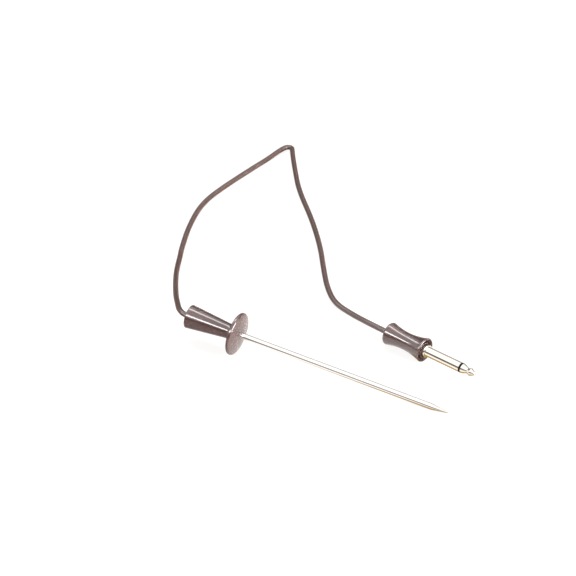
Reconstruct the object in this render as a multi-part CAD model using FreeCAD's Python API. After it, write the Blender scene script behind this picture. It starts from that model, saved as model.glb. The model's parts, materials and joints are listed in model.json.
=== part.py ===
import FreeCAD, Part

import math
import os

"""Oven meat probe: a pointed stainless rod in a moulded handle, a free cable and a 6.35 mm jack plug.

Units are millimetres. The row frame stands the probe as it lies on a worktop: +X towards the tip,
+Z up, the origin on the surface under the middle of handle and rod. The pieces are modelled on
two axes of their own, both along local X: the probe's starts at the back face of the handle, and
the plug's at the back face of the grip.
"""

Vector = FreeCAD.Vector

# Fits
sliding_fit = 0.05
cable_fit = 0.1
moulded_fit = 0.05

# Cable
cord_radius = 1.8
core_radius = 0.5
core_offset = 0.8
first_run = 3.4
last_run = 12.0

# Handle, from its flat back face
handle_length = 33.0
handle_back_radius = 7.75
handle_front_radius = 4.35
handle_back_round = 0.6
neck_round = 5.0
flange_radius = 14.0
flange_thickness = 2.8
dome_height = 1.9
gate_at = 6.0
gate_radius = 0.7
gate_root_radius = 0.9
gate_height = 0.55
insert_radius = 3.2
insert_start = 7.0
insert_length = 17.0

# Rod
tube_radius = 2.0
tube_wall = 0.4
exposed_rod = 142.0
point_length = 11.5
point_tip_radius = 0.3
point_spigot_length = 4.0
seal_groove_width = 1.6
seal_groove_depth = 0.3

# Sensor in the rod
bead_radius = 1.0
bead_length = 2.6
bead_back_round = 0.6
bead_front_round = 0.8
bead_gap = 0.6
paste_length = 6.0
lead_radius = 0.22
insulator_length = 100.0

# Joint of rod and cable inside the handle
anchor_length = 4.0
anchor_groove_depth = 0.6
anchor_groove_width = 0.8
anchor_grooves = 2
crimp_length = 4.0
crimp_wall = 0.45
jacket_in_crimp = 3.6
splice_radius = 0.52
splice_length = 4.0
splice_at = 15.0
sleeve_wall = 0.16
sleeve_overlap = 1.0

# Plug grip, from its flat back face
grip_length = 29.4
grip_back_radius = 7.9
grip_waist_radius = 5.65
grip_waist_at = 14.6
grip_front_radius = 8.2
grip_back_round = 1.4
grip_front_round = 0.8
grip_recess_depth = 1.0
grip_recess_gap = 0.45
grip_inlet = 6.0
grip_cavity_radius = 3.7

# Jack
jack_radius = 3.175
jack_length = 39.2
tip_length = 10.15
ring_thickness = 1.3
ring_spigot = 2.0
collar_radius = 4.3
collar_above = 2.0
collar_chamfer = 0.35
boss_radius = 4.1
boss_length = 8.0
thread_depth = 0.35
thread_pitch = 1.0
jack_bore = 2.0
centre_rod_radius = 1.1
tip_neck_radius = 1.75
tip_neck_at = 4.3
tip_head_radius = 2.55
tip_head_at = 6.4
tip_nose_radius = 0.8
tip_face_radius = 3.025
tip_face_at = 1.0
tip_face_round = 0.6
tip_edge_round = 0.25
tip_neck_round = 0.5
tip_head_round = 0.45
tip_nose_round = 0.7
bush_bore = 2.9
bush_depth = 1.6
bush_flange_radius = 3.4
bush_flange = 0.8
tag_thickness = 0.4
tag_width = 1.8
tag_reach = 5.0
tag_ring_radius = 3.5
tip_tag_radius = 2.4
rivet_radius = 1.6
rivet_height = 0.6
rivet_round = 0.25
clamp_wall = 0.4
clamp_length = 3.2
plug_jacket_end = 3.4
core_lap = 3.3

# Where the plug lies: the middle of the grip's back face, and its heading about +Z in degrees
plug_x = 26.9
plug_y = 51.8
plug_heading = -14.8

# Share of the shorter run beside a bend that its arc takes up
bend_share = 0.45

# The cable's route from the handle to the plug, at the height of its centre line
on_floor = cord_radius
route_points = [
    (-95.7, 1.4, 17.4),
    (-99.6, 5.1, 16.7),
    (-103.0, 9.9, 16.0),
    (-108.7, 18.0, 14.3),
    (-115.2, 28.6, 11.6),
    (-122.0, 40.4, 8.2),
    (-129.0, 53.2, 5.0),
    (-135.0, 65.7, 2.7),
    (-140.3, 79.1, on_floor),
    (-143.6, 86.5, on_floor),
    (-153.8, 116.0, on_floor),
    (-160.1, 147.0, on_floor),
    (-156.5, 175.0, on_floor),
    (-150.6, 204.5, on_floor),
    (-146.1, 224.8, on_floor),
    (-144.7, 235.6, on_floor),
    (-142.9, 243.3, on_floor),
    (-141.1, 246.0, on_floor),
    (-137.8, 246.0, on_floor),
    (-136.1, 243.2, on_floor),
    (-131.2, 234.3, on_floor),
    (-120.6, 216.6, on_floor),
    (-106.0, 193.0, on_floor),
    (-80.2, 161.4, on_floor),
    (-59.3, 131.5, on_floor),
    (-45.2, 107.0, on_floor),
    (-33.5, 88.3, on_floor),
    (-21.8, 74.8, on_floor),
    (-6.0, 66.2, 3.2),
]

# Shapes that several pieces are made with


def along(x, radius=0.0):
    """A point of a turned profile: a distance along the axis and a radius."""
    return Vector(x, 0, radius)


def turned(edges):
    """The solid that a closed profile of edges makes when it turns about the X axis."""
    face = Part.Face(Part.Wire(edges))
    return face.revolve(Vector(0, 0, 0), Vector(1, 0, 0), 360)


def line(start, end):
    return Part.LineSegment(start, end).toShape()


def corner(before, point, after, radius):
    """The arc that rounds a corner between two straight lines, and its two ends."""
    back = (before - point).normalize()
    ahead = (after - point).normalize()
    half = back.getAngle(ahead) / 2
    cut = radius / math.tan(half)
    middle_line = (back + ahead).normalize()
    centre = point + middle_line * (radius / math.sin(half))
    start = point + back * cut
    end = point + ahead * cut
    return Part.Arc(start, centre - middle_line * radius, end).toShape(), start, end


def rounded_line(points):
    """Edges through points given as (x, radius, corner round), open at both ends."""
    edges = []
    last = along(points[0][0], points[0][1])
    for index in range(1, len(points)):
        x, radius, rounding = points[index]
        here = along(x, radius)
        if rounding > 0:
            arc, start, end = corner(last, here, along(*points[index + 1][:2]), rounding)
            edges += [line(last, start), arc]
            last = end
        else:
            edges.append(line(last, here))
            last = here
    return edges


def turned_line(points):
    """A turned solid from a closed profile of straight lines with rounded corners."""
    return turned(rounded_line(points + [(points[0][0], points[0][1], 0)]))


def ring(start, end, outer, inner=0.0):
    """A straight tube or, with no inner radius, a bar along X."""
    bar = Part.makeCylinder(outer, end - start, Vector(start, 0, 0), Vector(1, 0, 0))
    if inner > 0:
        bar = bar.cut(Part.makeCylinder(inner, end - start, Vector(start, 0, 0), Vector(1, 0, 0)))
    return bar


def pair(shape):
    """The two copies of a piece that lie beside each other on either side of the axis."""
    left = shape.copy()
    left.translate(Vector(0, core_offset, 0))
    right = shape.copy()
    right.translate(Vector(0, -core_offset, 0))
    return left, right


def tangent_path(points):
    """A wire of straight runs joined by tangent arcs, with each arc's radius."""
    edges = []
    radii = []
    last = points[0]
    for before, here, after in zip(points, points[1:], points[2:]):
        back = (before - here).normalize()
        ahead = (after - here).normalize()
        half_turn = (math.pi - back.getAngle(ahead)) / 2
        shorter = min((before - here).Length, (after - here).Length)
        radius = bend_share * shorter / math.tan(half_turn)
        arc, start, end = corner(before, here, after, radius)
        edges += [line(last, start), arc]
        radii.append(radius)
        last = end
    edges.append(line(last, points[-1]))
    return Part.Wire(edges), radii


def tube_along(points, radius):
    """A round bar swept along a path of runs and arcs."""
    path, radii = tangent_path(points)
    heading = (points[1] - points[0]).normalize()
    section = Part.Wire([Part.Circle(points[0], heading, radius).toShape()])
    return path.makePipeShell([section], True, False), path, radii


# Places along the probe's axis

flange_back = handle_length
flange_front = flange_back + flange_thickness
dome_top = flange_front + dome_height
rod_tip = dome_top + exposed_rod
point_start = rod_tip - point_length
insert_end = insert_start + insert_length
anchor_start = insert_end - anchor_length
crimp_end = insert_start + crimp_length
jacket_end = insert_start + jacket_in_crimp
splice_end = splice_at + splice_length
spigot_start = point_start - point_spigot_length
paste_start = spigot_start - paste_length
bead_back = paste_start + bead_gap
insulator_start = paste_start - insulator_length
tube_bore = tube_radius - tube_wall
crimp_bore = cord_radius + sliding_fit
crimp_outer = crimp_bore + crimp_wall
sleeve_bore = splice_radius + sliding_fit
sleeve_outer = sleeve_bore + sleeve_wall

# Probe side


def flange_edges():
    """The flange's full-round rim and its dome, tangent to each other, down to the rod's bore."""
    rim = flange_thickness / 2
    rim_x = flange_back + rim
    rim_r = flange_radius - rim
    rise = dome_top - rim_x
    dome_radius = (rise ** 2 + rim_r ** 2 - rim ** 2) / (2 * (rise - rim))
    dome_x = dome_top - dome_radius
    outward = (along(rim_x, rim_r) - along(dome_x)).normalize()
    joint = along(dome_x) + outward * dome_radius
    bore = tube_radius + moulded_fit
    inner_x = dome_x + math.sqrt(dome_radius ** 2 - bore ** 2)
    half_r = (joint.z + bore) / 2
    half_x = dome_x + math.sqrt(dome_radius ** 2 - half_r ** 2)
    crest = Part.Arc(along(flange_back, rim_r), along(rim_x, flange_radius), joint).toShape()
    dome = Part.Arc(joint, along(half_x, half_r), along(inner_x, bore)).toShape()
    return [crest, dome], along(inner_x, bore)


def handle():
    rim_r = flange_radius - flange_thickness / 2
    body = rounded_line([
        (0, 0, 0),
        (0, handle_back_radius, handle_back_round),
        (flange_back, handle_front_radius, neck_round),
        (flange_back, rim_r, 0),
    ])
    flange, mouth = flange_edges()
    closing = [line(mouth, along(mouth.x)), line(along(mouth.x), along(0))]
    solid = turned(body + flange + closing)
    solid = solid.fuse(gate_nib()).removeSplitter()
    solid = solid.cut(ring(-1, insert_start, cord_radius + cable_fit))
    solid = solid.cut(ring(insert_start, insert_end, insert_radius))
    return solid.cut(grooved_bar(insert_end, rod_tip, tube_radius + moulded_fit))


def gate_nib():
    """The short stub that the moulding gate leaves on top of the handle's cone."""
    slope = (handle_back_radius - handle_front_radius) / handle_length
    surface = handle_back_radius - slope * gate_at
    root = surface - gate_radius
    return Part.makeCone(gate_root_radius, gate_radius, gate_height + gate_radius,
                         Vector(gate_at, 0, root), Vector(slope, 0, 1))


def grooved_bar(start, end, radius):
    """A bar with the groove that seals the tube in the handle's mouth."""
    groove_end = dome_top
    groove_start = groove_end - seal_groove_width
    middle = (groove_start + groove_end) / 2
    groove = Part.Arc(along(groove_start, radius), along(middle, radius - seal_groove_depth),
                      along(groove_end, radius)).toShape()
    return turned([
        line(along(start), along(start, radius)),
        line(along(start, radius), along(groove_start, radius)),
        groove,
        line(along(groove_end, radius), along(end, radius)),
        line(along(end, radius), along(end)),
        line(along(end), along(start)),
    ])


def probe_tube():
    """The drawn tube, with a groove rolled through its wall where the handle's mouth seals on it."""
    outside = grooved_bar(anchor_start, point_start, tube_radius)
    return outside.cut(grooved_bar(anchor_start - 1, point_start + 1, tube_bore))


def probe_point():
    spigot = tube_bore - sliding_fit
    flank = math.atan((tube_radius - point_tip_radius) / point_length)
    nose_x = rod_tip - point_tip_radius
    touch = along(nose_x + point_tip_radius * math.sin(flank), point_tip_radius * math.cos(flank))
    nose = along(nose_x + point_tip_radius * math.sin(math.pi / 4 + flank / 2),
                 point_tip_radius * math.cos(math.pi / 4 + flank / 2))
    edges = [
        line(along(spigot_start), along(spigot_start, spigot)),
        line(along(spigot_start, spigot), along(point_start, spigot)),
        line(along(point_start, spigot), along(point_start, tube_radius)),
        line(along(point_start, tube_radius), touch),
        Part.Arc(touch, nose, along(rod_tip)).toShape(),
        line(along(rod_tip), along(spigot_start)),
    ]
    return turned(edges)


def tube_anchor():
    """A collar crimped on the tube, with grooves that the moulding fills."""
    collar = ring(anchor_start, insert_end, insert_radius - moulded_fit, tube_radius + sliding_fit)
    pitch = anchor_length / (anchor_grooves + 1)
    for index in range(anchor_grooves):
        middle = anchor_start + pitch * (index + 1)
        collar = collar.cut(ring(middle - anchor_groove_width / 2, middle + anchor_groove_width / 2,
                                 insert_radius + 1, insert_radius - anchor_groove_depth))
    return collar


def thermistor_bead():
    """A glass bead with rounded ends."""
    front = bead_back + bead_length
    return turned_line([
        (bead_back, 0, 0),
        (bead_back, bead_radius, bead_back_round),
        (front, bead_radius, bead_front_round),
        (front, 0, 0),
    ])


def sensor_leads():
    length = bead_back - splice_end
    lead = Part.makeCylinder(lead_radius, length, Vector(splice_end, 0, 0), Vector(1, 0, 0))
    return pair(lead)


def heat_paste():
    """The filling round the bead, cut to the bead's own shape."""
    paste = ring(paste_start, spigot_start, tube_bore - sliding_fit)
    for piece in (thermistor_bead(),) + sensor_leads():
        paste = paste.cut(piece)
    return paste


def lead_insulator():
    bar = ring(insulator_start, paste_start, tube_bore - sliding_fit)
    bore = Part.makeCylinder(lead_radius + sliding_fit, insulator_length + 2,
                             Vector(insulator_start - 1, 0, 0), Vector(1, 0, 0))
    for side in pair(bore):
        bar = bar.cut(side)
    return bar


def cable_crimp():
    return ring(insert_start, crimp_end, crimp_outer, crimp_bore)


def splices():
    return pair(ring(splice_at, splice_end, splice_radius))


def splice_sleeves():
    sleeve = ring(splice_at - sleeve_overlap, splice_end + sleeve_overlap, sleeve_outer, sleeve_bore)
    return pair(sleeve)


def handle_cores():
    return pair(ring(jacket_end, splice_at, core_radius))


def cable_tail_handle():
    return ring(0, jacket_end, cord_radius)


def splice_potting():
    """The inner moulding that fills the handle between the back wall and the anchor."""
    filling = ring(insert_start, anchor_start, insert_radius - moulded_fit)
    filling = filling.cut(ring(insert_start - 1, crimp_end, crimp_outer + sliding_fit))
    channel = ring(crimp_end - 1, anchor_start + 1, sleeve_outer + sliding_fit)
    for side in pair(channel):
        filling = filling.cut(side)
    return filling


# Plug side, from the back face of the grip

jack_tip_end = grip_length + jack_length
ring_front = jack_tip_end - tip_length
ring_back = ring_front - ring_thickness
collar_back = grip_length - grip_recess_depth
collar_front = grip_length + collar_above
boss_back = collar_back - boss_length
bush_front = boss_back + bush_depth
tag_back = boss_back - tag_thickness
bush_back = tag_back - bush_flange
tip_tag_back = bush_back - tag_thickness
rod_insulator_radius = jack_bore - sliding_fit
rod_insulator_bore = centre_rod_radius + sliding_fit
plug_jacket_stop = grip_inlet + plug_jacket_end


def plug_grip():
    """The hourglass barrel: one hollow arc from end to end, rounded into both flat faces."""
    waist = Part.Circle(along(0, grip_back_radius), along(grip_waist_at, grip_waist_radius),
                        along(grip_length, grip_front_radius))
    centre = waist.Center
    edges = []
    ends = []
    for face_x, inward, rounding in ((0, 1, grip_back_round), (grip_length, -1, grip_front_round)):
        x = face_x + inward * rounding
        reach = waist.Radius + rounding
        round_centre = along(x, centre.z - math.sqrt(reach ** 2 - (x - centre.x) ** 2))
        toward = (centre - round_centre).normalize()
        on_arc = round_centre + toward * rounding
        on_face = along(face_x, round_centre.z)
        outward = (toward + Vector(-inward, 0, 0)).normalize()
        edges.append(Part.Arc(on_face, round_centre + outward * rounding, on_arc).toShape())
        ends.append((on_face, on_arc))
    throat_x = (ends[0][1].x + ends[1][1].x) / 2
    throat = along(throat_x, centre.z - math.sqrt(waist.Radius ** 2 - (throat_x - centre.x) ** 2))
    edges.append(Part.Arc(ends[0][1], throat, ends[1][1]).toShape())
    edges.append(line(ends[1][0], along(grip_length)))
    edges.append(line(along(grip_length), along(0)))
    edges.append(line(along(0), ends[0][0]))
    solid = turned(Part.__sortEdges__(edges))
    solid = solid.cut(ring(-1, grip_inlet, cord_radius + cable_fit))
    solid = solid.cut(ring(grip_inlet, collar_back, grip_cavity_radius))
    solid = solid.cut(ring(boss_back, collar_back, boss_radius + sliding_fit))
    return solid.cut(ring(collar_back, grip_length + 1, collar_radius + grip_recess_gap))


def jack_sleeve():
    """The turned contact: threaded boss, collar and long sleeve, bored for the centre rod."""
    crest = boss_radius
    root = boss_radius - thread_depth
    flank = thread_pitch / 2
    outline = [(boss_back, jack_bore, 0), (boss_back, root, 0), (boss_back + flank, root, 0)]
    for index in range(int(boss_length / thread_pitch) - 1):
        valley = boss_back + flank + index * thread_pitch
        outline += [(valley + flank, crest, 0), (valley + thread_pitch, root, 0)]
    outline += [
        (collar_back, root, 0),
        (collar_back, collar_radius, 0),
        (collar_front - collar_chamfer, collar_radius, 0),
        (collar_front, collar_radius - collar_chamfer, 0),
        (collar_front, jack_radius, 0),
        (ring_back, jack_radius, 0),
        (ring_back, jack_bore, 0),
    ]
    body = turned_line(outline)
    return body.cut(ring(boss_back - 1, bush_front, bush_bore))


def jack_insulator():
    bore = centre_rod_radius + sliding_fit
    washer = ring(ring_back, ring_front, jack_radius, bore)
    spigot = ring(ring_back - ring_spigot, ring_back, rod_insulator_radius, bore)
    return washer.fuse(spigot).removeSplitter()


def rod_insulator():
    return ring(bush_front, ring_back - ring_spigot, rod_insulator_radius, rod_insulator_bore)


def rear_bush():
    hub = ring(tag_back, bush_front, bush_bore - sliding_fit, rod_insulator_bore)
    flange = ring(bush_back, tag_back, bush_flange_radius, rod_insulator_bore)
    return hub.fuse(flange).removeSplitter()


def jack_tip():
    """Arrow head, waisted neck and the centre rod behind them, riveted over the tag."""
    rivet_back = tip_tag_back - rivet_height
    nose_start = jack_tip_end - tip_nose_radius
    return turned_line([
        (rivet_back, 0, 0),
        (rivet_back, rivet_radius, rivet_round),
        (tip_tag_back, rivet_radius, 0),
        (tip_tag_back, centre_rod_radius, 0),
        (ring_front, centre_rod_radius, 0),
        (ring_front, jack_radius, tip_edge_round),
        (ring_front + tip_face_at, tip_face_radius, tip_face_round),
        (ring_front + tip_neck_at, tip_neck_radius, tip_neck_round),
        (ring_front + tip_head_at, tip_head_radius, tip_head_round),
        (nose_start, tip_nose_radius, tip_nose_round),
        (jack_tip_end, 0, 0),
    ])


def tongue(back, offset, side):
    """A tag's strip, running back beside the axis."""
    height = tag_thickness
    low = offset if side > 0 else -offset - height
    return Part.makeBox(tag_reach, height, tag_width,
                        Vector(back - tag_reach, low, -tag_width / 2))


def tip_lug():
    washer = ring(tip_tag_back, bush_back, tip_tag_radius, centre_rod_radius + sliding_fit)
    strip = tongue(bush_back, tip_tag_radius - tag_thickness, 1)
    return washer.fuse(strip).removeSplitter()


def sleeve_lug():
    """The sleeve's tag: a ring, a strip past the bush and a clamp round the cable."""
    inner = bush_bore
    washer = ring(tag_back, boss_back, tag_ring_radius, inner)
    clamp_end = grip_inlet + clamp_length
    strip_start = clamp_end - clamp_wall
    strip = Part.makeBox(boss_back - strip_start, tag_thickness, tag_width,
                         Vector(strip_start, -tag_ring_radius, -tag_width / 2))
    outer = cord_radius + sliding_fit + clamp_wall
    clamp = ring(grip_inlet, clamp_end, outer, cord_radius + sliding_fit)
    web = Part.makeBox(clamp_wall, tag_ring_radius - cord_radius - clamp_wall / 2, tag_width,
                       Vector(strip_start, -tag_ring_radius, -tag_width / 2))
    return washer.fuse([strip, clamp, web]).removeSplitter()


def plug_core(side, tag_offset, end):
    """An insulated core from the cable's end to the inner face of its tag."""
    lie = tag_offset - core_radius - sliding_fit
    bend = (end - plug_jacket_stop) / 3
    points = [
        Vector(plug_jacket_stop, side * core_offset, 0),
        Vector(plug_jacket_stop + bend, side * core_offset, 0),
        Vector(plug_jacket_stop + 2 * bend, side * lie, 0),
        Vector(end, side * lie, 0),
    ]
    return tube_along(points, core_radius)[0]


def cable_tail_plug():
    return ring(0, plug_jacket_stop, cord_radius)


# Placing the two groups on the surface


def rest_tilt():
    """The nose-down angle at which the flange's rim and the rod's end touch the same surface.

    The rod's end comes down on the shoulder where its point starts or on the rounded tip,
    whichever is met first.
    """
    rim = flange_thickness / 2
    rim_r = flange_radius - rim
    angles = []
    shoulder = (point_start, tube_radius, 0)
    tip = (rod_tip - point_tip_radius, 0, point_tip_radius)
    for x, radius, rounding in (shoulder, tip):
        span = x - (flange_back + rim)
        drop = rim_r - radius
        angles.append(math.atan2(drop, span) + math.asin((rim - rounding) / math.hypot(span, drop)))
    return min(angles)


def probe_placement():
    turn = FreeCAD.Rotation(Vector(0, 1, 0), math.degrees(rest_tilt()))
    outline = Part.Compound([handle(), probe_point()])
    outline.Placement = FreeCAD.Placement(Vector(0, 0, 0), turn)
    box = outline.optimalBoundingBox(False, False)
    shift = Vector(-(box.XMin + box.XMax) / 2, 0, -box.ZMin)
    return FreeCAD.Placement(shift, turn)


def plug_placement():
    """The plug rests on both rims of its grip."""
    lift = math.degrees(math.asin((grip_front_radius - grip_back_radius) / grip_length))
    turn = FreeCAD.Rotation(Vector(0, 0, 1), plug_heading)
    turn = turn.multiply(FreeCAD.Rotation(Vector(0, 1, 0), -lift))
    outline = plug_grip()
    outline.Placement = FreeCAD.Placement(Vector(0, 0, 0), turn)
    box = outline.optimalBoundingBox(False, False)
    return FreeCAD.Placement(Vector(plug_x, plug_y, -box.ZMin), turn)


def cord(probe_place, plug_place):
    points = [probe_place.multVec(Vector(0, 0, 0)), probe_place.multVec(Vector(-first_run, 0, 0))]
    points += [Vector(*point) for point in route_points]
    points += [plug_place.multVec(Vector(-last_run, 0, 0)), plug_place.multVec(Vector(0, 0, 0))]
    tube, path, radii = tube_along(points, cord_radius)
    section = math.pi * cord_radius ** 2
    print("cord length %.1f mm" % path.Length)
    print("cord volume %.1f mm3, section times length %.1f" % (tube.Volume, section * path.Length))
    print("cord radii", " ".join("%.1f" % radius for radius in radii))
    print("cord points", " ".join("(%.2f, %.2f, %.2f)" % tuple(p) for p in points[:2] + points[-2:]))
    return tube


def probe_pieces():
    leads = sensor_leads()
    joints = splices()
    sleeves = splice_sleeves()
    cores = handle_cores()
    return {
        "handle": handle(),
        "probe_tube": probe_tube(),
        "probe_point": probe_point(),
        "tube_anchor": tube_anchor(),
        "thermistor_bead": thermistor_bead(),
        "heat_paste": heat_paste(),
        "lead_insulator": lead_insulator(),
        "sensor_lead_a": leads[0],
        "sensor_lead_b": leads[1],
        "splice_a": joints[0],
        "splice_b": joints[1],
        "splice_sleeve_a": sleeves[0],
        "splice_sleeve_b": sleeves[1],
        "handle_core_a": cores[0],
        "handle_core_b": cores[1],
        "cable_crimp": cable_crimp(),
        "cable_tail_handle": cable_tail_handle(),
        "splice_potting": splice_potting(),
    }


def plug_pieces():
    tip_core_end = bush_back - tag_reach + core_lap
    sleeve_core_end = tag_back - tag_reach + core_lap
    return {
        "plug_grip": plug_grip(),
        "jack_sleeve": jack_sleeve(),
        "jack_insulator": jack_insulator(),
        "rod_insulator": rod_insulator(),
        "rear_bush": rear_bush(),
        "jack_tip": jack_tip(),
        "tip_lug": tip_lug(),
        "sleeve_lug": sleeve_lug(),
        "plug_core_a": plug_core(1, tip_tag_radius - tag_thickness, tip_core_end),
        "plug_core_b": plug_core(-1, tag_ring_radius - tag_thickness, sleeve_core_end),
        "cable_tail_plug": cable_tail_plug(),
    }


def main():
    os.makedirs("parts", exist_ok=True)
    probe_place = probe_placement()
    plug_place = plug_placement()
    pieces = {"cord": cord(probe_place, plug_place)}
    for group, place in ((probe_pieces(), probe_place), (plug_pieces(), plug_place)):
        for name, shape in group.items():
            shape.Placement = place.multiply(shape.Placement)
            pieces[name] = shape
    for name, shape in pieces.items():
        print("%-18s solids %d valid %s volume %.2f"
              % (name, len(shape.Solids), shape.isValid(), shape.Volume))
        shape.exportStep("parts/%s.step" % name)


main()
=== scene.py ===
"""Dresses the oven meat probe.

Glossy moulded handle and grip, polished rod, jack plug and free cable.
"""

import json
import math

import bpy
from bpy.props import FloatProperty, FloatVectorProperty, IntProperty, PointerProperty
from mathutils import Matrix, Vector


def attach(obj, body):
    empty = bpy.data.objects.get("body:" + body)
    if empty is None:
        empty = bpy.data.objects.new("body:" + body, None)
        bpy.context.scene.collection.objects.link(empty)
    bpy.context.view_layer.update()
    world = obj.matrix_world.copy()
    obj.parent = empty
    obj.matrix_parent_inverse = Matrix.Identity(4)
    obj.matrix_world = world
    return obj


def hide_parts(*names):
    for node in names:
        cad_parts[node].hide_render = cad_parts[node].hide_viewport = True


bl_info = {
    "name": "Oven Meat Probe",
    "version": (1, 0, 0),
    "blender": (4, 5, 0),
    "location": "View3D > Sidebar > Probe",
    "description": "Builds the looks of an oven meat probe around its packed frame",
    "category": "Object",
}

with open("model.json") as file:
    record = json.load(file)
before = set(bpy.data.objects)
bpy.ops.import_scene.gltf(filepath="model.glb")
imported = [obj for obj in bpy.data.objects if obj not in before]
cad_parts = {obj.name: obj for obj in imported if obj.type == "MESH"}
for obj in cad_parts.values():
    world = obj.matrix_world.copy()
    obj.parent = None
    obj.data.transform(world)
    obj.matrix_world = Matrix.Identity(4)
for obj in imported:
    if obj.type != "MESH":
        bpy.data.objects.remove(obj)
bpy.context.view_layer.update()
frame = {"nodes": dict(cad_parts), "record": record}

BODY = "root"
MILLIMETRE = 0.001
QUARTER = math.pi / 2

# Clearances and edges in metres
CABLE_FIT = 0.1 * MILLIMETRE
METAL_FIT = 0.05 * MILLIMETRE
HOLE_EDGE = 0.12 * MILLIMETRE
FINE_EDGE = 0.06 * MILLIMETRE

# The plug's line on the floor, in metres: which way is across it, and how far off it lies
PLUG_ACROSS = (0.2557, 0.9667, 0.0)
PLUG_LINE = 0.05696

# What gloss sees of the room, and the softer light that everything else gets from it
ROOM_WHITE = (1.20, 1.18, 1.16, 1.0)
ROOM_DARK = (0.04, 0.028, 0.020, 1.0)
ROOM_SOFT = (0.40, 0.40, 0.41, 1.0)

# The floor as the camera sees it, then what gloss sees of it: white, a painted gold reflection for
# the metal, and painted shade
FLOOR_SEEN = (1.03, 1.03, 1.02, 1.0)
FLOOR_WHITE = (1.15, 1.09, 1.05, 1.0)
# Painted gold reflection: only glossy rays see it on the white floor, so the metal shows a gold
# band
FLOOR_PAINTED_GOLD_REFLECTION = (0.48, 0.32, 0.12, 1.0)
# Painted shade: a darker floor that only glossy rays see, behind and to the left of the handle
FLOOR_SHADE = (0.48, 0.39, 0.36, 1.0)

# The strip lamps: name, place across the probe, height and width, in metres
STRIPS = (("front_strip", -1.12, 1.0, 0.20), ("top_strip", 0.48, 1.4, 0.32))
STRIP_MIDDLE = -0.9
STRIP_LENGTH = 2.6
SIDE_LAMP = (1.5, 0.1, 0.42)
SIDE_LAMP_SIZE = (0.9, 0.5)

# Least roughness of the bright metal
POLISH = 0.05

# The camera's sensor in millimetres, and the breadth of the floor in metres
SENSOR = 36.0
FLOOR_BREADTH = 8.0

# The cable's route, as the part's source gives it, in millimetres
ON_FLOOR = 1.8
ROUTE = (
    (-95.7, 1.4, 17.4),
    (-99.6, 5.1, 16.7),
    (-103.0, 9.9, 16.0),
    (-108.7, 18.0, 14.3),
    (-115.2, 28.6, 11.6),
    (-122.0, 40.4, 8.2),
    (-129.0, 53.2, 5.0),
    (-135.0, 65.7, 2.7),
    (-140.3, 79.1, ON_FLOOR),
    (-143.6, 86.5, ON_FLOOR),
    (-153.8, 116.0, ON_FLOOR),
    (-160.1, 147.0, ON_FLOOR),
    (-156.5, 175.0, ON_FLOOR),
    (-150.6, 204.5, ON_FLOOR),
    (-146.1, 224.8, ON_FLOOR),
    (-144.7, 235.6, ON_FLOOR),
    (-142.9, 243.3, ON_FLOOR),
    (-141.1, 246.0, ON_FLOOR),
    (-137.8, 246.0, ON_FLOOR),
    (-136.1, 243.2, ON_FLOOR),
    (-131.2, 234.3, ON_FLOOR),
    (-120.6, 216.6, ON_FLOOR),
    (-106.0, 193.0, ON_FLOOR),
    (-80.2, 161.4, ON_FLOOR),
    (-59.3, 131.5, ON_FLOOR),
    (-45.2, 107.0, ON_FLOOR),
    (-33.5, 88.3, ON_FLOOR),
    (-21.8, 74.8, ON_FLOOR),
    (-6.0, 66.2, 3.2),
)


def length(name, description, default):
    """A size in metres, given in millimetres."""
    return FloatProperty(name=name, description=description, default=default * MILLIMETRE,
                         min=0.0, precision=5, unit="LENGTH")


def watts(name, description, default):
    return FloatProperty(name=name, description=description, default=default, min=0.0)


def colour(name, description, default):
    return FloatVectorProperty(name=name, description=description, default=default,
                               subtype="COLOR", size=3, min=0.0, max=1.0)


class HandleSizes(bpy.types.PropertyGroup):
    """Sizes of the push-pin shaped handle, along its axis from the flat back face."""

    cone: length("Cone", "From the back face to the back of the flange", 33.0)
    back_radius: length("Back radius", "Radius of the cone at the back face", 7.75)
    front_radius: length("Front radius", "Radius at which the cone would meet the flange", 4.35)
    back_round: length("Back edge", "Round of the edge at the back face", 0.6)
    neck_round: length("Neck", "Radius of the hollow between cone and flange", 5.0)
    flange_radius: length("Flange radius", "Outer radius of the flange", 14.0)
    flange_thickness: length("Flange thickness", "Thickness of the flange's round rim", 2.8)
    dome: length("Dome", "Height of the flange's domed front above its rim", 1.9)
    insert_radius: length("Insert radius", "Radius of the inner moulding", 3.2)
    insert_start: length("Insert start", "Back end of the inner moulding", 7.0)
    insert_length: length("Insert length", "Length of the inner moulding", 17.0)
    gate_at: length("Gate", "Distance of the gate's nib from the back face", 6.0)
    gate_root: length("Gate root", "Radius of the nib at its foot", 0.9)
    gate_radius: length("Gate radius", "Radius of the nib at its top", 0.7)
    gate_height: length("Gate height", "Height of the nib above the cone", 0.55)


class RodSizes(bpy.types.PropertyGroup):
    """Sizes of the pointed rod."""

    radius: length("Radius", "Outer radius of the tube", 2.0)
    wall: length("Wall", "Wall of the tube", 0.4)
    exposed: length("Exposed length", "From the dome of the flange to the tip", 142.0)
    held: length("Held length", "Length of the tube inside the handle", 17.7)
    point: length("Point", "Length of the cone at the tip", 11.5)
    tip_radius: length("Tip radius", "Round at the very tip", 0.3)
    spigot: length("Spigot", "Length of the point inside the tube", 4.0)
    seal_width: length("Seal width", "Width of the sealing groove", 1.6)
    seal_depth: length("Seal depth", "Depth of the sealing groove", 0.3)


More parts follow.
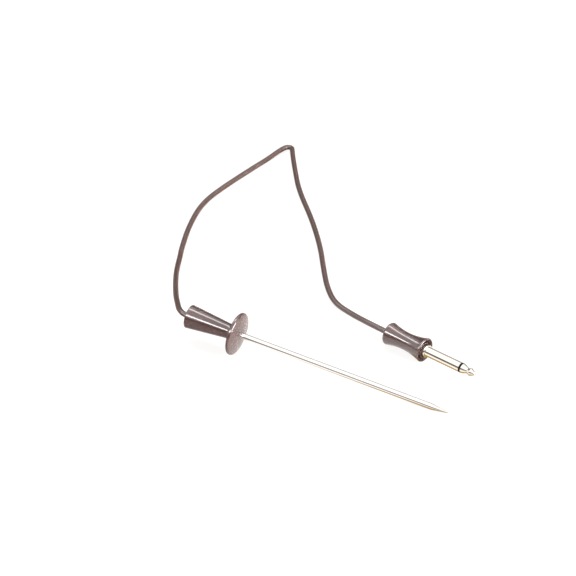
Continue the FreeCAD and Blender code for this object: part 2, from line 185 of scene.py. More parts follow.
class GripSizes(bpy.types.PropertyGroup):
    """Sizes of the plug's hourglass grip, along its axis from the flat back face."""

    span: length("Length", "From the back face to the front face", 29.4)
    back_radius: length("Back radius", "Radius at the back face", 7.9)
    waist_radius: length("Waist radius", "Least radius", 5.65)
    waist_at: length("Waist", "Distance of the waist from the back face", 14.6)
    front_radius: length("Front radius", "Radius at the front face", 8.2)
    back_round: length("Back edge", "Round of the back edge", 1.4)
    front_round: length("Front edge", "Round of the front edge", 0.8)
    recess_depth: length("Recess depth", "Depth of the recess round the collar", 1.0)
    recess_gap: length("Recess gap", "Gap round the collar", 0.45)
    inlet: length("Inlet", "Length of the cable's hole", 6.0)
    cavity_radius: length("Cavity", "Radius of the hollow for the tags", 3.7)


class JackSizes(bpy.types.PropertyGroup):
    """Sizes of the jack's contacts."""

    radius: length("Sleeve radius", "Outer radius of the sleeve contact", 3.175)
    reach: length("Reach", "From the face of the grip to the tip's end", 39.2)
    tip: length("Tip", "Length of the tip contact in front of the ring", 10.15)
    ring: length("Ring", "Thickness of the insulating ring", 1.3)
    ring_spigot: length("Ring spigot", "Length of the ring inside the sleeve", 2.0)
    collar_radius: length("Collar radius", "Outer radius of the collar", 4.3)
    collar_above: length("Collar height", "Height of the collar above the grip's face", 2.0)
    boss_radius: length("Boss radius", "Crest radius of the threaded boss", 4.1)
    boss: length("Boss", "Length of the threaded boss", 8.0)
    thread_depth: length("Thread depth", "Depth of the thread", 0.35)
    thread_pitch: length("Thread pitch", "Pitch of the thread", 1.0)
    bore: length("Bore", "Bore radius of the sleeve", 2.0)
    rod: length("Centre rod", "Radius of the tip's centre rod", 1.1)
    face: length("Tip face", "Distance of the tip's first bend from the ring", 1.0)
    face_radius: length("Tip face radius", "Radius at the tip's first bend", 3.025)
    neck_radius: length("Neck radius", "Radius of the tip's neck", 1.75)
    neck_at: length("Neck", "Distance of the neck from the ring", 4.3)
    head_radius: length("Head radius", "Radius of the tip's head", 2.55)
    head_at: length("Head", "Distance of the head's edge from the ring", 6.4)
    nose_radius: length("Nose", "Round of the tip's end", 0.8)
    rod_back: length("Rod back", "Length of the centre rod behind the grip's face", 12.2)


class CableSizes(bpy.types.PropertyGroup):
    """Size and length of the free cable."""

    radius: length("Radius", "Radius of the jacket", 1.8)
    span: length("Length", "Length from the handle to the grip", 534.3)
    first_run: length("First run", "Straight run out of the handle", 3.4)
    last_run: length("Last run", "Straight run into the grip", 12.0)
    bevel: IntProperty(name="Sides", description="Steps in a quarter of the jacket",
                       default=8, min=2)


class Finishes(bpy.types.PropertyGroup):
    """Colours of the finishes."""

    plastic: colour("Plastic", "Moulded handle and grip", (0.062, 0.037, 0.034))
    jacket: colour("Jacket", "Cable jacket", (0.060, 0.034, 0.028))
    steel: colour("Steel", "Polished stainless rod", (0.93, 0.92, 0.90))
    nickel: colour("Nickel", "Plated contacts of the jack", (0.93, 0.90, 0.84))
    insulator: colour("Insulator", "Black ring of the jack", (0.012, 0.011, 0.011))
    floor: colour("Floor", "Floor under the probe", (0.93, 0.93, 0.92))


class StageSettings(bpy.types.PropertyGroup):
    """Camera and lights."""

    azimuth: FloatProperty(name="Azimuth", description="Camera's turn round the probe",
                           default=math.radians(26.4), subtype="ANGLE")
    elevation: FloatProperty(name="Elevation", description="Camera's height over the horizon",
                             default=math.radians(34.0), subtype="ANGLE")
    distance: FloatProperty(name="Distance", description="Camera to the middle of the picture",
                            default=1.25, unit="LENGTH")
    lens: FloatProperty(name="Lens", description="Focal length in millimetres", default=117.2)
    aim: FloatVectorProperty(name="Aim", description="Floor point in the middle of the picture",
                             default=(-0.0583, 0.07925, 0.0), size=3, subtype="TRANSLATION")
    key: watts("Key", "Strength of the front strip lamp", 30.0)
    top: watts("Top", "Strength of the upper strip lamp", 17.0)
    side: watts("Side", "Strength of the lamp beyond the plug", 34.0)
    lamp_tint: colour("Lamp tint", "Colour of the lamps", (1.0, 0.93, 0.93))


# Shader building blocks


class Value:
    """A number socket in a material; arithmetic on it adds Math nodes."""

    def __init__(self, finish, socket):
        self.finish = finish
        self.socket = socket

    def math(self, operation, *others):
        values = (self,) + others
        return self.finish.node("ShaderNodeMath", {"operation": operation},
                                dict(enumerate(values)))

    def __add__(self, other):
        return self.math("ADD", other)

    __radd__ = __add__

    def __mul__(self, other):
        return self.math("MULTIPLY", other)

    __rmul__ = __mul__

    def __sub__(self, other):
        return self.math("SUBTRACT", other)


class Nodes:
    """A node tree being built."""

    def __init__(self, tree):
        self.tree = tree
        self.tree.nodes.clear()

    def node(self, kind, settings=None, inputs=None, output=0):
        """Adds a node, sets it up and returns one of its outputs as a Value."""
        node = self.tree.nodes.new(kind)
        for name, value in (settings or {}).items():
            setattr(node, name, value)
        for name, value in (inputs or {}).items():
            self.feed(node.inputs[name], value)
        return Value(self, node.outputs[output])

    def feed(self, socket, value):
        if isinstance(value, Value):
            self.tree.links.new(value.socket, socket)
        else:
            socket.default_value = value

    def smooth(self, value, start, end):
        """0 before the start and 1 after the end, with a soft step between them."""
        return self.node("ShaderNodeMapRange", {"interpolation_type": "SMOOTHSTEP"},
                         {"Value": value, "From Min": start, "From Max": end})

    def mix(self, factor, low, high):
        """A colour between two others."""
        return self.node("ShaderNodeMix", {"data_type": "RGBA"}, {0: factor, 6: low, 7: high}, 2)


class Finish(Nodes):
    """A material being built: one Principled shader, and the nodes that feed it."""

    def __init__(self, name, **plain):
        self.material = bpy.data.materials.new(name)
        self.material.use_nodes = True
        super().__init__(self.material.node_tree)
        self.output = self.tree.nodes.new("ShaderNodeOutputMaterial")
        self.shader = self.tree.nodes.new("ShaderNodeBsdfPrincipled")
        self.tree.links.new(self.shader.outputs["BSDF"], self.output.inputs["Surface"])
        for socket, value in plain.items():
            self.shader.inputs[socket.replace("_", " ")].default_value = value

    def set(self, name, value):
        self.feed(self.shader.inputs[name], value)

    def places(self, axis=None):
        """Object coordinates, or distances along and across a piece's own axis."""
        here = self.node("ShaderNodeTexCoord", output="Object")
        if axis is None:
            return here
        turn = axis.to_3x3().transposed()
        shift = -(turn @ axis.translation)
        return self.node("ShaderNodeMapping", {"vector_type": "POINT"},
                         {"Vector": here, "Rotation": turn.to_euler(), "Location": shift})

    def stretched(self, places, scale):
        return self.node("ShaderNodeMapping", {"vector_type": "POINT"},
                         {"Vector": places, "Scale": scale})

    def noise(self, places, scale, detail=3.0, roughness=0.5):
        return self.node("ShaderNodeTexNoise", {},
                         {"Vector": places, "Scale": scale, "Detail": detail,
                          "Roughness": roughness})

    def bump(self, height, strength, distance):
        self.set("Normal", self.node("ShaderNodeBump", {}, {
            "Height": height, "Strength": strength, "Distance": distance}))


def rgba(shade, gain=1.0):
    return (*(min(1.0, part * gain) for part in shade), 1.0)


def moulded_plastic(shade, axis):
    """Glossy brown-grey moulded plastic with faint flow marks and fine wear."""
    finish = Finish("moulded_plastic", IOR=1.8, Coat_Roughness=0.04, Coat_IOR=1.7)
    places = finish.places(axis)
    flow = finish.noise(finish.stretched(places, (60.0, 190.0, 190.0)), 1.0, 4.0)
    specks = finish.noise(places, 2600.0, 2.0)
    scuffs = finish.noise(finish.stretched(places, (300.0, 1500.0, 1500.0)), 1.0, 5.0, 0.7)
    finish.set("Base Color", finish.mix(flow, rgba(shade, 0.86), rgba(shade, 1.14)))
    finish.set("Roughness", 0.13 + 0.10 * scuffs)
    finish.set("Coat Weight", 0.25 + 0.15 * flow)
    finish.bump(0.7 * flow + 0.3 * specks, 0.06, 0.00006)
    return finish.material


def cable_jacket(shade):
    """Smooth flexible jacket, less glossy than the mouldings, with a faint wave of the cores."""
    finish = Finish("cable_jacket", IOR=1.75)
    places = finish.places()
    slow = finish.noise(places, 28.0, 3.0)
    fine = finish.noise(places, 1900.0, 3.0)
    finish.set("Base Color", finish.mix(slow, rgba(shade, 0.85), rgba(shade, 1.15)))
    finish.set("Roughness", 0.22 + 0.14 * fine)
    finish.bump(0.5 * fine + 0.5 * slow, 0.05, 0.00008)
    return finish.material


def polished_metal(name, shade, axis):
    """Bright metal with the fine rings that polishing on a lathe leaves."""
    finish = Finish(name, Metallic=1.0)
    places = finish.places(axis)
    rings = finish.noise(finish.stretched(places, (9000.0, 120.0, 120.0)), 1.0, 2.0)
    smears = finish.noise(finish.stretched(places, (90.0, 420.0, 420.0)), 1.0, 4.0, 0.6)
    finish.set("Base Color", finish.mix(smears, rgba(shade, 0.94), rgba(shade, 1.05)))
    finish.set("Roughness", POLISH + 0.06 * smears)
    finish.bump(rings, 0.01, 0.00001)
    return finish.material


def insulating_plastic(shade):
    """Plain black moulding with a slight sheen."""
    finish = Finish("insulating_plastic", IOR=1.15)
    places = finish.places()
    grain = finish.noise(places, 1500.0, 3.0)
    finish.set("Base Color", finish.mix(grain, rgba(shade, 0.8), rgba(shade, 1.3)))
    finish.set("Roughness", 0.3 + 0.15 * grain)
    return finish.material


def plain_finish(name, shade, roughness, metallic=0.0):
    """A finish for the pieces inside, which only show when the probe is taken apart."""
    finish = Finish(name, Metallic=metallic)
    grain = finish.noise(finish.places(), 700.0, 3.0)
    finish.set("Base Color", finish.mix(grain, rgba(shade, 0.88), rgba(shade, 1.1)))
    finish.set("Roughness", roughness + 0.12 * grain)
    return finish.material


# Shape building blocks


def deselect():
    if bpy.context.mode != "OBJECT":
        bpy.ops.object.mode_set(mode="OBJECT")
    bpy.ops.object.select_all(action="DESELECT")


def mount_named(name):
    for mount in frame["record"]["mounts"]:
        if mount["name"] == name:
            return mount
    raise RuntimeError("the record has no mount named " + name)


def axis_of(mount_name, distance):
    """The placement whose X axis is a mount's axis, with its origin a distance behind the mount."""
    mount = mount_named(mount_name)
    ahead = Vector(mount["axis"]).normalized()
    side = Vector((0.0, 0.0, 1.0)).cross(ahead).normalized()
    up = ahead.cross(side)
    turn = Matrix((ahead, side, up)).transposed().to_4x4()
    return Matrix.Translation(Vector(mount["pos_m"]) - ahead * distance) @ turn


def handle_axis():
    handle = bpy.context.scene.probe_handle
    rod = bpy.context.scene.probe_rod
    dome_top = handle.cone + handle.flange_thickness + handle.dome
    point_start = dome_top + rod.exposed - rod.point
    return axis_of("probe_rod", (dome_top + point_start) / 2)


def plug_axis():
    grip = bpy.context.scene.probe_grip
    jack = bpy.context.scene.probe_jack
    front = grip.span + jack.collar_above
    ring_front = grip.span + jack.reach - jack.tip
    return axis_of("jack_pin", (front + ring_front) / 2)


def arc_points(centre, radius, start, end, count):
    """Points of an arc in the profile's plane, its ends included, angles from the axis."""
    points = []
    for index in range(count + 1):
        angle = start + (end - start) * index / count
        points.append((centre[0] + radius * math.cos(angle), centre[1] + radius * math.sin(angle)))
    return points


def rounded(points, count=8):
    """A profile given as (distance, radius, corner round), with each corner as an arc."""
    outline = []
    for index, (x, r, size) in enumerate(points):
        here = Vector((x, r))
        if size == 0:
            outline.append((x, r))
            continue
        back = (Vector(points[index - 1][:2]) - here).normalized()
        ahead = (Vector(points[(index + 1) % len(points)][:2]) - here).normalized()
        half = back.angle(ahead) / 2
        centre = here + (back + ahead).normalized() * (size / math.sin(half))
        first = here + back * (size / math.tan(half)) - centre
        turn = first.angle_signed(here + ahead * (size / math.tan(half)) - centre)
        start = math.atan2(first.y, first.x)
        outline += arc_points(centre, size, start, start - turn, count)
    return outline


def turned(name, outline, axis, material, steps):
    """Spins a closed outline of (distance, radius) points about an axis into one piece."""
    deselect()
    bpy.ops.mesh.primitive_plane_add(size=MILLIMETRE, location=(0, 0, 0))
    piece = bpy.context.object
    piece.name = name
    piece.data.name = name
    bpy.ops.object.mode_set(mode="EDIT")
    bpy.ops.mesh.select_all(action="SELECT")
    bpy.ops.mesh.merge(type="CENTER")
    last = Vector((outline[0][0], 0, outline[0][1]))
    bpy.ops.transform.translate(value=last)
    for x, r in outline[1:] + outline[:1]:
        here = Vector((x, 0, r))
        bpy.ops.mesh.extrude_region_move(TRANSFORM_OT_translate={"value": here - last})
        last = here
    bpy.ops.mesh.select_all(action="SELECT")
    bpy.ops.mesh.spin(steps=steps, angle=2 * math.pi, center=(0, 0, 0), axis=(1, 0, 0))
    bpy.ops.mesh.select_all(action="SELECT")
    bpy.ops.mesh.remove_doubles(threshold=MILLIMETRE * 0.0005)
    bpy.ops.mesh.normals_make_consistent(inside=False)
    bpy.ops.object.mode_set(mode="OBJECT")
    return placed(piece, axis, material)


def placed(piece, axis, material):
    """Puts a piece that was made along the X axis where it belongs, shades it and lets it ride."""
    deselect()
    piece.matrix_world = axis
    piece.select_set(True)
    bpy.context.view_layer.objects.active = piece
    bpy.ops.object.transform_apply(location=True, rotation=True, scale=True)
    bpy.ops.object.shade_smooth_by_angle(angle=math.radians(32))
    piece.data.materials.clear()
    piece.data.materials.append(material)
    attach(piece, BODY)
    return piece


# Operators


class PROBE_OT_stage(bpy.types.Operator):
    """Set up the camera, the lamps, the world and the floor"""

    bl_idname = "probe.stage"
    bl_label = "Stage"

    def execute(self, context):
        scene = context.scene
        settings = scene.probe_stage
        scene.view_settings.view_transform = "Standard"
        self.camera(scene, settings)
        self.lamps(settings)
        self.world(scene)
        self.floor(scene)
        return {"FINISHED"}

    def camera(self, scene, settings):
        back = Vector((math.sin(settings.azimuth) * math.cos(settings.elevation),
                       -math.cos(settings.azimuth) * math.cos(settings.elevation),
                       math.sin(settings.elevation)))
        bpy.ops.object.camera_add(location=Vector(settings.aim) + back * settings.distance)
        camera = bpy.context.object
        camera.name = "camera"
        camera.data.lens = settings.lens
        camera.data.sensor_width = SENSOR
        camera.data.clip_start = 0.05
        camera.rotation_mode = "QUATERNION"
        camera.rotation_quaternion = (-back).to_track_quat("-Z", "Y")
        scene.camera = camera

    def lamps(self, settings):
        """Two long strip lamps parallel to the probe, and a soft one beyond the plug."""
        for (name, across, height, width), power in zip(STRIPS, (settings.key, settings.top)):
            lamp = self.area_lamp(name, (STRIP_MIDDLE, across, height), (STRIP_LENGTH, width),
                                  power, settings.lamp_tint)
            lamp.rotation_euler = (math.atan2(-across, height), 0, 0)
        side = self.area_lamp("side_lamp", SIDE_LAMP, SIDE_LAMP_SIZE, settings.side,
                              settings.lamp_tint)
        side.rotation_mode = "QUATERNION"
        side.rotation_quaternion = side.location.to_track_quat("Z", "Y")

    def area_lamp(self, name, location, size, power, tint):
        bpy.ops.object.light_add(type="AREA", location=location)
        lamp = bpy.context.object
        lamp.name = name
        lamp.data.shape = "RECTANGLE"
        lamp.data.size, lamp.data.size_y = size
        lamp.data.energy = power
        lamp.data.color = tint
        return lamp

    def world(self, scene):
        """A white studio; gloss also shows a dark room low down, in front and behind."""
        world = bpy.data.worlds.new("studio")
        world.use_nodes = True
        studio = Nodes(world.node_tree)
        toward = studio.node("ShaderNodeTexCoord", output="Generated")
        side = studio.node("ShaderNodeVectorMath", {"operation": "DOT_PRODUCT"},
                           {0: toward, 1: (0.2, -0.98, 0.0)}, "Value")
        up = studio.node("ShaderNodeVectorMath", {"operation": "DOT_PRODUCT"},
                         {0: toward, 1: (0.0, 0.0, 1.0)}, "Value")
        # Heights are sines of the elevation: the room is dark to about 17 degrees in front
        low = studio.smooth(up, 0.58, 0.30)
        front = studio.smooth(side, 0.05, 0.55)
        behind = studio.smooth(up, 0.62, 0.45) * studio.smooth(side, -0.05, -0.45)
        dark = (low * front).math("MAXIMUM", behind * 0.85)
        room = studio.mix(dark, ROOM_WHITE, ROOM_DARK)
        gloss = studio.node("ShaderNodeLightPath", output="Is Glossy Ray")
        background = studio.tree.nodes.new("ShaderNodeBackground")
        studio.feed(background.inputs["Color"], studio.mix(gloss, ROOM_SOFT, room))
        output = studio.tree.nodes.new("ShaderNodeOutputWorld")
        studio.tree.links.new(background.outputs[0], output.inputs["Surface"])
        scene.world = world

    def floor(self, scene):
        """A white floor that keeps the shadows; gloss sees a painted gold reflection on it beside
        the metal and painted shade by the handle.
        """
        deselect()
        bpy.ops.mesh.primitive_plane_add(size=FLOOR_BREADTH, location=(0, 0, 0))
        floor = bpy.context.object
        floor.name = "floor"
        finish = Finish("floor", Roughness=0.7)
        places = finish.places()
        tint = scene.probe_finishes.floor
        shade = finish.noise(places, 3.0, 2.0)
        finish.set("Base Color", finish.mix(shade, rgba(tint, 0.99), rgba(tint, 1.0)))
        x = finish.node("ShaderNodeSeparateXYZ", {}, {0: places}, "X")
        y = finish.node("ShaderNodeSeparateXYZ", {}, {0: places}, "Y")
        plug = finish.node("ShaderNodeVectorMath", {"operation": "DOT_PRODUCT"},
                           {0: places, 1: PLUG_ACROSS}, "Value")
        # Painted reflections that only gloss sees: gold within millimetres of the rod's and the
        # plug's lines, painted shade by the handle
        by_rod = finish.smooth(y.math("ABSOLUTE"), 0.0085, 0.0050) * finish.smooth(x, -0.05, 0.05)
        by_plug = (finish.smooth((plug - PLUG_LINE).math("ABSOLUTE"), 0.011, 0.0075)
                   * finish.smooth(x, 0.042, 0.046))
        painted_gold_reflection = by_rod.math("MAXIMUM", by_plug)
        # Glossy rays see the white floor with the painted gold reflection beside the metal
        reflected = finish.mix(painted_gold_reflection, FLOOR_WHITE, FLOOR_PAINTED_GOLD_REFLECTION)
        # Painted shade in reflections: gloss sees the floor darker behind and to the left of the
        # handle
        for away in (finish.smooth(y, 0.064, 0.08), finish.smooth(x, -0.050, -0.062)):
            reflected = finish.mix(away, reflected, FLOOR_SHADE)
        camera = finish.node("ShaderNodeLightPath", output="Is Camera Ray")
        glossy = finish.node("ShaderNodeLightPath", output="Is Glossy Ray")
        glow = finish.tree.nodes.new("ShaderNodeEmission")
        finish.feed(glow.inputs["Color"], finish.mix(glossy, FLOOR_SEEN, reflected))
        blend = finish.tree.nodes.new("ShaderNodeMixShader")
        finish.feed(blend.inputs[0], camera * 0.80 + glossy)
        finish.tree.links.new(finish.shader.outputs["BSDF"], blend.inputs[1])
        finish.tree.links.new(glow.outputs[0], blend.inputs[2])
        finish.tree.links.new(blend.outputs[0], finish.output.inputs["Surface"])
        floor.data.materials.append(finish.material)


class PROBE_OT_cable(bpy.types.Operator):
    """Lay the free cable from the handle to the grip"""

    bl_idname = "probe.cable"
    bl_label = "Cable"

    def execute(self, context):
        sizes = context.scene.probe_cable
        start = handle_axis()
        end = plug_axis()
        points = [start.translation, start @ Vector((-sizes.first_run, 0, 0))]
        points += [Vector(point) * MILLIMETRE for point in ROUTE]
        points += [end @ Vector((-sizes.last_run, 0, 0)), end.translation]
        curve = bpy.data.curves.new("cable", "CURVE")
        curve.dimensions = "3D"
        spline = curve.splines.new("NURBS")
        spline.points.add(len(points) - 1)
        for target, point in zip(spline.points, points):
            target.co = (*point, 1.0)
        spline.order_u = 3
        spline.use_endpoint_u = True
        curve.resolution_u = 16
        curve.bevel_depth = sizes.radius
        curve.bevel_resolution = sizes.bevel
        curve.use_fill_caps = True
        cable = bpy.data.objects.new("cable", curve)
        context.scene.collection.objects.link(cable)
        curve.materials.append(cable_jacket(context.scene.probe_finishes.jacket))
        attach(cable, BODY)
        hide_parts("cord")
        return {"FINISHED"}


class PROBE_OT_handle(bpy.types.Operator):
    """Turn the push-pin shaped handle"""

    bl_idname = "probe.handle"
    bl_label = "Handle"

    def execute(self, context):
        sizes = context.scene.probe_handle
        cable = context.scene.probe_cable.radius + CABLE_FIT
        rod = context.scene.probe_rod.radius + METAL_FIT
        insert_end = sizes.insert_start + sizes.insert_length
        rim = sizes.flange_thickness / 2
        rim_r = sizes.flange_radius - rim
        outline = rounded([
            (sizes.insert_start, sizes.insert_radius, 0),
            (sizes.insert_start, cable, 0),
            (0, cable, HOLE_EDGE),
            (0, sizes.back_radius, sizes.back_round),
            (sizes.cone, sizes.front_radius, sizes.neck_round),
            (sizes.cone, rim_r, 0),
        ], 12)
        outline += self.flange(sizes, rod)
        outline += [(insert_end, rod), (insert_end, sizes.insert_radius)]
        material = moulded_plastic(context.scene.probe_finishes.plastic, handle_axis())
        piece = turned("moulded_handle", outline, handle_axis(), material, 160)
        self.add_gate(sizes, piece)
        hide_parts("handle")
        return {"FINISHED"}

    def add_gate(self, sizes, piece):
        """Joins the nib that the moulding gate left on top of the cone."""
        slope = (sizes.back_radius - sizes.front_radius) / sizes.cone
        surface = sizes.back_radius - slope * sizes.gate_at
        foot = surface - sizes.gate_height
        top = surface + sizes.gate_height
        place = handle_axis() @ Vector((sizes.gate_at, 0, (foot + top) / 2))
        deselect()
        bpy.ops.mesh.primitive_cone_add(vertices=32, radius1=sizes.gate_root,
                                        radius2=sizes.gate_radius, depth=top - foot, location=place)
        nib = bpy.context.object
        union = piece.modifiers.new("gate", "BOOLEAN")
        union.operation = "UNION"
        union.solver = "EXACT"
        union.object = nib
        bpy.context.view_layer.objects.active = piece
        bpy.ops.object.modifier_apply(modifier=union.name)
        bpy.data.objects.remove(nib)

    def flange(self, sizes, bore):
        """The round rim and the dome, tangent to each other."""
        rim = sizes.flange_thickness / 2
        rim_x = sizes.cone + rim
        rim_r = sizes.flange_radius - rim
        rise = rim + sizes.dome
        radius = (rise ** 2 + rim_r ** 2 - rim ** 2) / (2 * (rise - rim))
        dome_x = sizes.cone + sizes.flange_thickness + sizes.dome - radius
        meet = math.atan2(rim_r, rim_x - dome_x)
        crest = arc_points((rim_x, rim_r), rim, math.pi, meet, 18)[1:]
        dome = arc_points((dome_x, 0), radius, meet, math.asin(bore / radius), 24)[1:]
        return crest + dome


class PROBE_OT_rod(bpy.types.Operator):
    """Turn the stainless tube and its point"""

    bl_idname = "probe.rod"
    bl_label = "Rod and point"

    def execute(self, context):
        handle = context.scene.probe_handle
        sizes = context.scene.probe_rod
        axis = handle_axis()
        metal = polished_metal("polished_steel", context.scene.probe_finishes.steel, axis)
        dome_top = handle.cone + handle.flange_thickness + handle.dome
        tip = dome_top + sizes.exposed
        start = tip - sizes.point
        bore = sizes.radius - sizes.wall
        outside = rounded([
            (dome_top - sizes.held, bore, 0),
            (dome_top - sizes.held, sizes.radius, FINE_EDGE),
            (start, sizes.radius, FINE_EDGE),
            (start, bore, 0),
        ], 3)
        outside[5:5] = self.groove(sizes, dome_top, sizes.radius)
        inside = self.groove(sizes, dome_top, bore)[::-1]
        tube = turned("steel_tube", outside + inside, axis, metal, 96)
        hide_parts("probe_tube")
        spigot = bore - METAL_FIT
        flank = math.atan((sizes.radius - sizes.tip_radius) / sizes.point)
        nose = arc_points((tip - sizes.tip_radius, 0), sizes.tip_radius, QUARTER - flank, 0, 8)
        outline = rounded([
            (start - sizes.spigot, 0, 0),
            (start - sizes.spigot, spigot, 0),
            (start, spigot, 0),
            (start, sizes.radius, FINE_EDGE),
            (nose[0][0], nose[0][1], 0),
        ], 3)
        point = turned("steel_point", outline + nose[1:], axis, metal, 96)
        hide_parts("probe_point")
        return {"FINISHED"}

    def groove(self, sizes, mouth, radius):
        """The groove rolled into the tube inside the handle's mouth, as a hollow arc."""
        half = sizes.seal_width / 2
        middle = mouth - half
        curve = (half ** 2 + sizes.seal_depth ** 2) / (2 * sizes.seal_depth)
        reach = math.asin(half / curve)
        centre = (middle, radius - sizes.seal_depth + curve)
        return arc_points(centre, curve, -QUARTER - reach, -QUARTER + reach, 8)


class PROBE_OT_grip(bpy.types.Operator):
    """Turn the hourglass grip of the plug"""

    bl_idname = "probe.grip"
    bl_label = "Grip"

    def execute(self, context):
        sizes = context.scene.probe_grip
        jack = context.scene.probe_jack
        cable = context.scene.probe_cable.radius + CABLE_FIT
        recess = sizes.span - sizes.recess_depth
        recess_radius = jack.collar_radius + sizes.recess_gap
        boss = jack.boss_radius + METAL_FIT
        skin = self.skin(sizes)
        inside = rounded([
            (sizes.span, recess_radius, 0.1 * MILLIMETRE),
            (recess, recess_radius, 0),
            (recess, boss, 0),
            (recess - jack.boss, boss, 0),
            (recess - jack.boss, sizes.cavity_radius, 0),
            (sizes.inlet, sizes.cavity_radius, 0),
            (sizes.inlet, cable, 0),
            (0, cable, HOLE_EDGE),
            (0, skin[0][1], 0),
        ], 4)
        material = moulded_plastic(context.scene.probe_finishes.plastic, plug_axis())
        piece = turned("moulded_grip", skin + inside[:-1], plug_axis(), material, 144)
        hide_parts("plug_grip")
        return {"FINISHED"}

    def skin(self, sizes):
        """One hollow arc from end to end, rounded into both flat faces."""
        ends = (Vector((0, sizes.back_radius)), Vector((sizes.waist_at, sizes.waist_radius)),
                Vector((sizes.span, sizes.front_radius)))
        centre, radius = circle_through(*ends)
        outline = []
        angles = []
        for face, inward, size in ((0, 1, sizes.back_round), (sizes.span, -1, sizes.front_round)):
            x = face + inward * size
            middle = Vector((x, centre.y - math.sqrt((radius + size) ** 2 - (x - centre.x) ** 2)))
            toward = (centre - middle).normalized()
            meet = math.atan2(toward.y, toward.x)
            away = math.pi if inward > 0 else 0.0
            outline.append(arc_points(middle, size, away, meet, 10))
            angles.append(math.atan2(-toward.y, -toward.x))
        waist = arc_points(centre, radius, angles[0], angles[1], 48)
        return outline[0] + waist[1:-1] + outline[1][::-1]


def circle_through(a, b, c):
    """Centre and radius of the circle through three points of a profile."""
    ab = b - a
    bc = c - b
    d = 2 * (ab.x * bc.y - ab.y * bc.x)
    p = (b.length_squared - a.length_squared, c.length_squared - b.length_squared)
    centre = Vector(((p[0] * bc.y - p[1] * ab.y) / d, (p[1] * ab.x - p[0] * bc.x) / d))
    return centre, (a - centre).length


class PROBE_OT_jack(bpy.types.Operator):
    """Turn the contacts and the insulating ring of the jack"""

    bl_idname = "probe.jack"
    bl_label = "Jack"

    def execute(self, context):
        scene = context.scene
        sizes = scene.probe_jack
        grip = scene.probe_grip
        axis = plug_axis()
        metal = polished_metal("nickel_plate", scene.probe_finishes.nickel, axis)
        black = insulating_plastic(scene.probe_finishes.insulator)
        end = grip.span + sizes.reach
        ring_front = end - sizes.tip
        ring_back = ring_front - sizes.ring
        self.sleeve(sizes, grip, axis, metal, ring_back)
        self.ring(sizes, axis, black, ring_back, ring_front)
        self.tip(sizes, grip, axis, metal, ring_front, end)
        return {"FINISHED"}

    def sleeve(self, sizes, grip, axis, metal, ring_back):
        collar_back = grip.span - grip.recess_depth
        boss_back = collar_back - sizes.boss
        collar_front = grip.span + sizes.collar_above
        root = sizes.boss_radius - sizes.thread_depth
        half = sizes.thread_pitch / 2
        outline = [(boss_back, sizes.bore, 0), (boss_back, root, 0)]
        for index in range(int(sizes.boss / sizes.thread_pitch) - 1):
            start = boss_back + half + index * sizes.thread_pitch
            outline += [(start, root, 0), (start + half, sizes.boss_radius, 0)]
        outline += [
            (collar_back, root, 0),
            (collar_back, sizes.collar_radius, 0.1 * MILLIMETRE),
            (collar_front, sizes.collar_radius, 0.3 * MILLIMETRE),
            (collar_front, sizes.radius, 0.15 * MILLIMETRE),
            (ring_back, sizes.radius, 0.08 * MILLIMETRE),
            (ring_back, sizes.bore, 0),
        ]
        piece = turned("sleeve_contact", rounded(outline, 5), axis, metal, 128)
        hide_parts("jack_sleeve")

    def ring(self, sizes, axis, black, back, front):
        bore = sizes.rod + METAL_FIT
        spigot = sizes.bore - METAL_FIT
        piece = turned("insulating_ring", rounded([
            (back - sizes.ring_spigot, bore, 0),
            (back - sizes.ring_spigot, spigot, 0),
            (back, spigot, 0),
            (back, sizes.radius, FINE_EDGE),
            (front, sizes.radius, FINE_EDGE),
            (front, bore, 0),
        ], 4), axis, black, 128)
        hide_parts("jack_insulator")

    def tip(self, sizes, grip, axis, metal, front, end):
        rod_back = grip.span - sizes.rod_back
        piece = turned("tip_contact", rounded([
            (rod_back, 0, 0),
            (rod_back, sizes.rod, 0.2 * MILLIMETRE),
            (front, sizes.rod, 0),
            (front, sizes.radius, 0.2 * MILLIMETRE),
            (front + sizes.face, sizes.face_radius, 0.5 * MILLIMETRE),
            (front + sizes.neck_at, sizes.neck_radius, 0.5 * MILLIMETRE),
            (front + sizes.head_at, sizes.head_radius, 0.4 * MILLIMETRE),
            (end - sizes.nose_radius, sizes.nose_radius * 1.1, 0.6 * MILLIMETRE),
            (end, 0, 0),
        ], 8), axis, metal, 128)
        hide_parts("jack_tip")


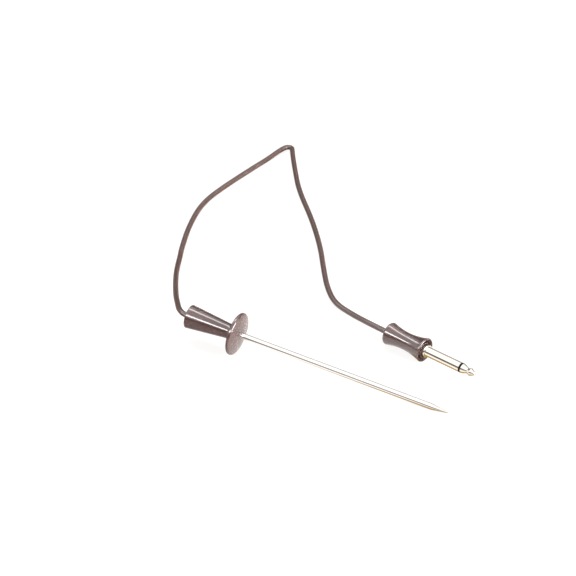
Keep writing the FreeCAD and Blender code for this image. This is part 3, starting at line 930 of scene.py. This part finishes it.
class PROBE_OT_inner(bpy.types.Operator):
    """Give the pieces inside the handle and the grip their finishes"""

    bl_idname = "probe.inner"
    bl_label = "Inner pieces"

    def execute(self, context):
        finishes = {
            "copper": plain_finish("bare_copper", (0.72, 0.36, 0.20), 0.25, 1.0),
            "stainless": plain_finish("turned_steel", (0.62, 0.61, 0.59), 0.28, 1.0),
            "brass": plain_finish("crimped_brass", (0.70, 0.52, 0.24), 0.28, 1.0),
            "tinned": plain_finish("tinned_tag", (0.66, 0.66, 0.64), 0.32, 1.0),
            "bead_glass": plain_finish("bead_glass", (0.09, 0.02, 0.008), 0.08),
            "paste": plain_finish("heat_paste", (0.70, 0.68, 0.61), 0.6),
            "ceramic_white": plain_finish("white_ceramic", (0.78, 0.76, 0.71), 0.45),
            "sleeve_black": plain_finish("shrink_sleeve", (0.02, 0.02, 0.02), 0.4),
            "core_red": plain_finish("red_insulation", (0.42, 0.02, 0.012), 0.4),
            "core_white": plain_finish("white_insulation", (0.74, 0.73, 0.70), 0.4),
            "potting": plain_finish("inner_moulding", (0.60, 0.55, 0.42), 0.5),
            "ring_black": plain_finish("black_bush", (0.015, 0.014, 0.014), 0.35),
            "cable_jacket": cable_jacket(context.scene.probe_finishes.jacket),
        }
        slots = {row["node"]: row["material_slot"] for row in frame["record"]["subparts"]}
        for name, node in frame["nodes"].items():
            if node.hide_render:
                continue
            node.data.materials.clear()
            node.data.materials.append(finishes[slots[name]])
        return {"FINISHED"}


class PROBE_OT_link(bpy.types.Operator):
    """Keep the two strip lamps off the bright metal, where they would hide the dark lines"""

    bl_idname = "probe.link"
    bl_label = "Lamp links"

    def execute(self, context):
        lit = bpy.data.collections.new("lit_by_strips")
        for name in ("moulded_handle", "moulded_grip", "cable", "floor"):
            lit.objects.link(bpy.data.objects[name])
        for name in ("front_strip", "top_strip"):
            bpy.data.objects[name].light_linking.receiver_collection = lit
        return {"FINISHED"}


class PROBE_OT_declare(bpy.types.Operator):
    """Gather the pieces at the cable's plug end into a list that is not passed on"""

    bl_idname = "probe.declare"
    bl_label = "Cable facts"

    def execute(self, context):
        on_cable = [bpy.data.objects[name] for name in
                    ("moulded_grip", "sleeve_contact", "insulating_ring", "tip_contact")]
        on_cable += [frame["nodes"][name] for name in
                     ("cable_tail_plug", "rod_insulator", "rear_bush", "tip_lug", "sleeve_lug",
                      "plug_core_a", "plug_core_b")]
        return {"FINISHED"}


class PROBE_PT_panel(bpy.types.Panel):
    """Lists the steps that build the probe"""

    bl_idname = "PROBE_PT_panel"
    bl_label = "Oven Meat Probe"
    bl_space_type = "VIEW_3D"
    bl_region_type = "UI"
    bl_category = "Probe"

    def draw(self, context):
        for step in STEPS:
            self.layout.operator(step.bl_idname)
        for group in GROUPS:
            settings = getattr(context.scene, group)
            box = self.layout.box()
            for name in settings.__annotations__:
                box.prop(settings, name)


STEPS = (PROBE_OT_stage, PROBE_OT_cable, PROBE_OT_handle, PROBE_OT_rod, PROBE_OT_grip,
         PROBE_OT_jack, PROBE_OT_inner, PROBE_OT_link, PROBE_OT_declare)
GROUPS = {
    "probe_handle": HandleSizes,
    "probe_rod": RodSizes,
    "probe_grip": GripSizes,
    "probe_jack": JackSizes,
    "probe_cable": CableSizes,
    "probe_finishes": Finishes,
    "probe_stage": StageSettings,
}


def register():
    for group, kind in GROUPS.items():
        bpy.utils.register_class(kind)
        setattr(bpy.types.Scene, group, PointerProperty(type=kind))
    for step in STEPS + (PROBE_PT_panel,):
        bpy.utils.register_class(step)


def unregister():
    for step in STEPS + (PROBE_PT_panel,):
        bpy.utils.unregister_class(step)
    for group, kind in GROUPS.items():
        delattr(bpy.types.Scene, group)
        bpy.utils.unregister_class(kind)


def main():
    register()
    bpy.ops.probe.stage()
    bpy.ops.probe.cable()
    bpy.ops.probe.handle()
    bpy.ops.probe.rod()
    bpy.ops.probe.grip()
    bpy.ops.probe.jack()
    bpy.ops.probe.inner()
    bpy.ops.probe.link()
    bpy.ops.probe.declare()


if __name__ == "__main__":
    main()
